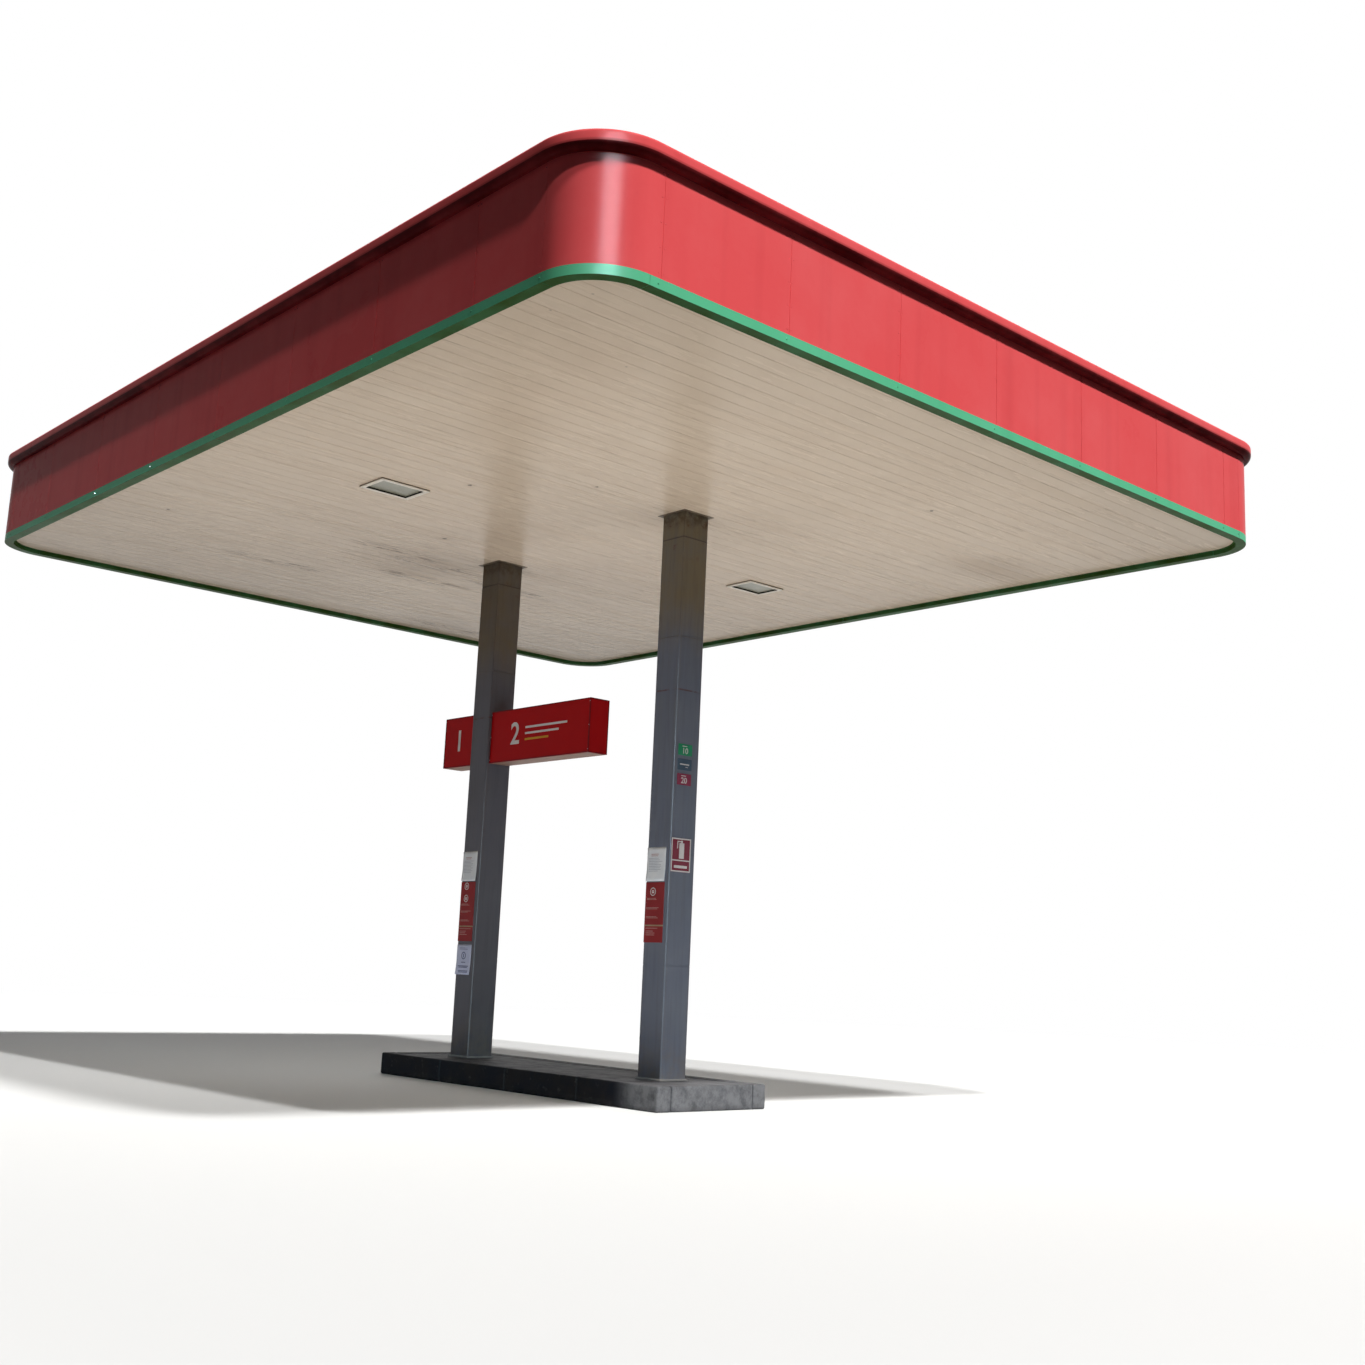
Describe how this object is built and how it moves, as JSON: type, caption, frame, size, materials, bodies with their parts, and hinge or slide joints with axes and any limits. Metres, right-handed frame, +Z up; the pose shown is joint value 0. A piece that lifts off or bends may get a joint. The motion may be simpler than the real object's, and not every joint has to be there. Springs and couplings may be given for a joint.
{
  "type": "filling station canopy",
  "caption": "Flat forecourt canopy with rounded corners, a rolled cornice and an edge band, on a row of square columns that stand in a kerbed island, with a plain sign box.",
  "frame": {"origin": "centre of the island's underside, on the ground, midway between the columns", "axes": "+Z up, X along the row of columns with the right column at +X, Y across the drive lanes with the front at -Y"},
  "size_m": [9.67, 7.87, 5.885],
  "materials": {
    "island_concrete": "dirty painted concrete, worn pale at the exposed end",
    "column_paint": "satin grey paint, slightly stained",
    "collar_sheet": "dull brownish grey paint",
    "frame_steel": "matt grey primer",
    "purlin_steel": "galvanised",
    "roof_sheet": "galvanised, weathered",
    "gutter_sheet": "galvanised, weathered",
    "ceiling_paint": "satin cream paint with specks of dirt",
    "light_frame_paint": "satin cream paint",
    "light_glass": "frosted",
    "band_green": "satin green paint",
    "fascia_red": "satin red paint, slightly faded",
    "sign_red": "gloss red, slightly dusty",
    "notice_print": "printed paper and board, faded",
    "number_plate": "matt plastic plates",
    "safety_print": "matt dark red plastic with a pale border"
  },
  "bodies": {
    "root": {"island_kerb": "island_concrete", "left_column": "column_paint", "right_column": "column_paint", "left_collar": "collar_sheet", "right_collar": "collar_sheet", "cross_beam_left": "frame_steel", "cross_beam_right": "frame_steel", "spine_beams": "frame_steel", "edge_frame_front": "frame_steel", "edge_frame_back": "frame_steel", "edge_frame_left": "frame_steel", "edge_frame_right": "frame_steel", "corner_frames": "frame_steel", "purlins_front": "purlin_steel", "purlins_back": "purlin_steel", "roof_deck_front": "roof_sheet", "roof_deck_back": "roof_sheet", "gutter": "gutter_sheet", "ceiling_battens": "purlin_steel", "ceiling_left": "ceiling_paint", "ceiling_middle": "ceiling_paint", "ceiling_right": "ceiling_paint", "light_frames": "light_frame_paint", "light_lenses": "light_glass", "band_front": "band_green", "band_back": "band_green", "band_left": "band_green", "band_right": "band_green", "band_corners": "band_green", "fascia_front": "fascia_red", "fascia_back": "fascia_red", "fascia_left": "fascia_red", "fascia_right": "fascia_red", "fascia_corners": "fascia_red", "cornice_front": "fascia_red", "cornice_back": "fascia_red", "cornice_left": "fascia_red", "cornice_right": "fascia_red", "cornice_corners": "fascia_red", "sign_box_long": "sign_red", "sign_box_short": "sign_red", "sign_faces": "sign_red", "column_notices": "notice_print", "number_plates": "number_plate", "safety_sign": "safety_print"}
  },
  "joints": []
}
